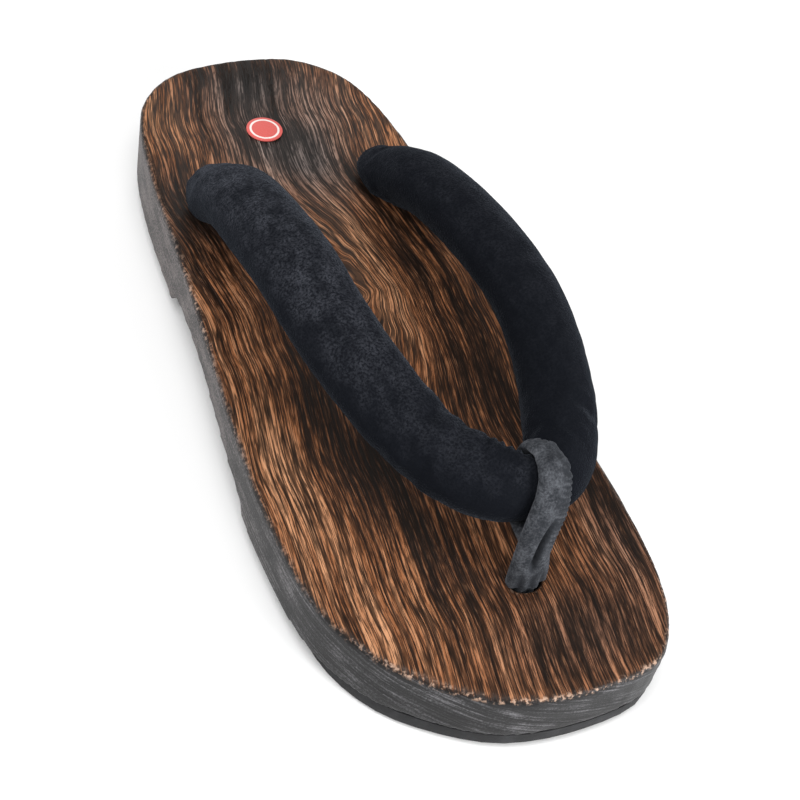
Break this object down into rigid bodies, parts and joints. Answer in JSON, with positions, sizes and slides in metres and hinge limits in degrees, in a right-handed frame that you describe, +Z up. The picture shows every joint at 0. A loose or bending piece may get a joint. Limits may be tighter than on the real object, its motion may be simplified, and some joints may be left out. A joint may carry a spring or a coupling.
{
  "type": "geta sandal",
  "caption": "Right-foot geta sandal: scorched wooden board with carved arch on rubber tread pads, padded velvet strap arms meeting at a toe thong.",
  "frame": {"origin": "middle of the sandal's bounding box at floor level", "axes": "+Y from toe to heel, +X towards the big-toe side, +Z up"},
  "size_m": [0.1051, 0.2705, 0.0711],
  "materials": {
    "scorched_wood": "scorched, brushed and oiled, semi-gloss, with dark lengthwise pores",
    "rubber": "matte black",
    "velvet": "blue-black velvet with brushed nap",
    "thong_velvet": "charcoal velvet",
    "sticker": "red printed paper with a pale ring"
  },
  "bodies": {
    "root": {"board": "scorched_wood", "fore_pad": "rubber", "heel_pad": "rubber", "strap": "velvet", "toe_thong": "thong_velvet", "size_sticker": "sticker"}
  },
  "joints": []
}
